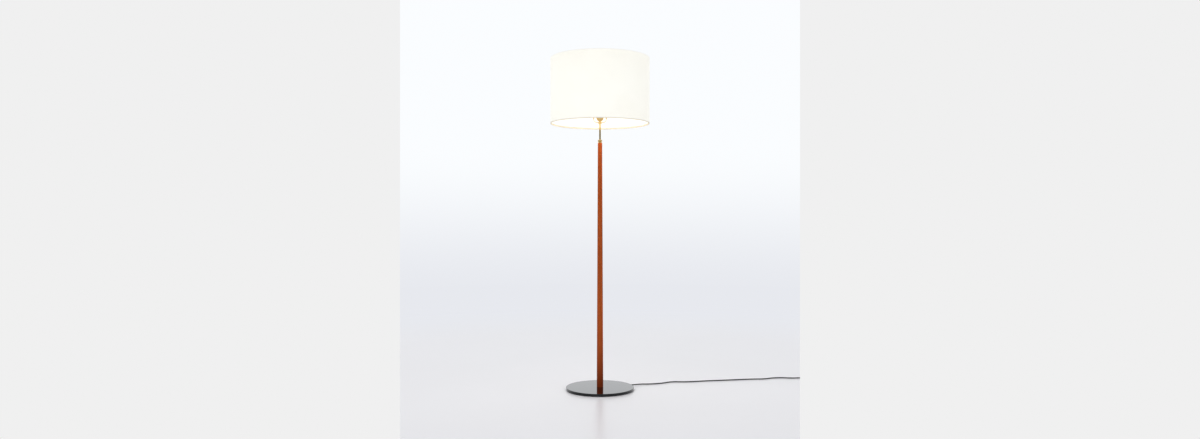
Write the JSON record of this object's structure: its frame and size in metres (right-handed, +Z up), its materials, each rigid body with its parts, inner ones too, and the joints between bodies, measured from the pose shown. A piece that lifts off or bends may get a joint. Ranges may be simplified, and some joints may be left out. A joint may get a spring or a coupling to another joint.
{
  "type": "floor lamp",
  "caption": "Adjustable floor lamp with a drum shade on a harp, a sliding brass stem in a tapered teak column and a flat round base.",
  "frame": {"origin": "centre of the base's underside, on the floor", "axes": "+Z up along the column, -Y towards the front from which the lamp is seen, +X to the side on which the flex leaves"},
  "size_m": [1.3876, 0.5713, 1.526],
  "materials": {
    "base_enamel": "gloss",
    "base_felt": "matte",
    "steel_zinc": "satin",
    "cord_rubber": "matte",
    "plug_brass": "satin",
    "teak": "satin",
    "brass_satin": "satin",
    "stem_brass": "polished",
    "spring_steel": "satin",
    "harp_brass": "satin",
    "liner_card": "matte",
    "phenolic": "matte",
    "knob_black": "gloss",
    "lead_white": "matte",
    "opal_glass": "satin",
    "bulb_aluminium": "satin",
    "clear_glass": "gloss",
    "shade_linen": "matte",
    "shade_styrene": "matte",
    "ring_white": "satin"
  },
  "bodies": {
    "base": {"base_disc": "base_enamel", "base_felt": "base_felt", "foot_flange": "steel_zinc", "flange_screws": "steel_zinc", "strain_relief": "cord_rubber", "foot_flex": "cord_rubber", "column_flex": "cord_rubber", "core_tube": "steel_zinc", "column": "teak", "guide_bush": "brass_satin", "cord_run": "cord_rubber", "cord_coil": "cord_rubber", "plug_body": "cord_rubber", "plug_blades": "plug_brass"},
    "clamp_nut": {"clamp_nut": "brass_satin"},
    "stop_ring": {"stop_ring": "spring_steel"},
    "stem": {"stem_tube": "stem_brass", "stem_flex": "cord_rubber", "lock_nut": "brass_satin", "harp_saddle": "harp_brass", "harp": "harp_brass", "harp_ferrules": "harp_brass", "harp_stud": "harp_brass", "socket_cap": "brass_satin", "socket_shell": "brass_satin", "socket_liner": "liner_card", "switch_housing": "phenolic", "terminal_screws": "brass_satin", "wire_leads": "lead_white", "screw_shell": "brass_satin", "centre_contact": "brass_satin", "bulb_glass": "opal_glass", "bulb_cap": "bulb_aluminium", "bulb_contact": "bulb_aluminium", "bulb_mount": "clear_glass", "bulb_filament": "spring_steel"},
    "switch": {"switch_spindle": "brass_satin", "switch_knob": "knob_black"},
    "shade": {"shade_fabric": "shade_linen", "shade_liner": "shade_styrene", "top_hem": "shade_linen", "bottom_hem": "shade_linen", "top_ring": "ring_white", "bottom_ring": "ring_white", "spider": "ring_white"},
    "finial": {"finial": "brass_satin"}
  },
  "joints": [
    {"name": "stem_slide", "type": "slide", "parent": "base", "child": "stop_ring", "axis": [0, 0, 1], "range_m": [-0.073, 0.3], "deforming": ["column_flex"]},
    {"name": "stem_turn", "type": "hinge", "parent": "stop_ring", "child": "stem", "pos_m": [0, 0, 0.807], "axis": [0, 0, 1], "range_deg": [-170, 170]},
    {"name": "clamp_nut_turn", "type": "hinge", "parent": "base", "child": "clamp_nut", "pos_m": [0, 0, 1.1485], "axis": [0, 0, 1], "range_deg": [0, 180]},
    {"name": "switch_turn", "type": "hinge", "parent": "stem", "child": "switch", "pos_m": [0, 0, 1.2672], "axis": [0, -1, 0], "continuous": true},
    {"name": "shade_turn", "type": "hinge", "parent": "stem", "child": "shade", "pos_m": [0, 0, 1.5043], "axis": [0, 0, 1], "continuous": true},
    {"name": "finial_turn", "type": "hinge", "parent": "stem", "child": "finial", "pos_m": [0, 0, 1.51], "axis": [0, 0, 1], "range_deg": [0, 360]}
  ]
}
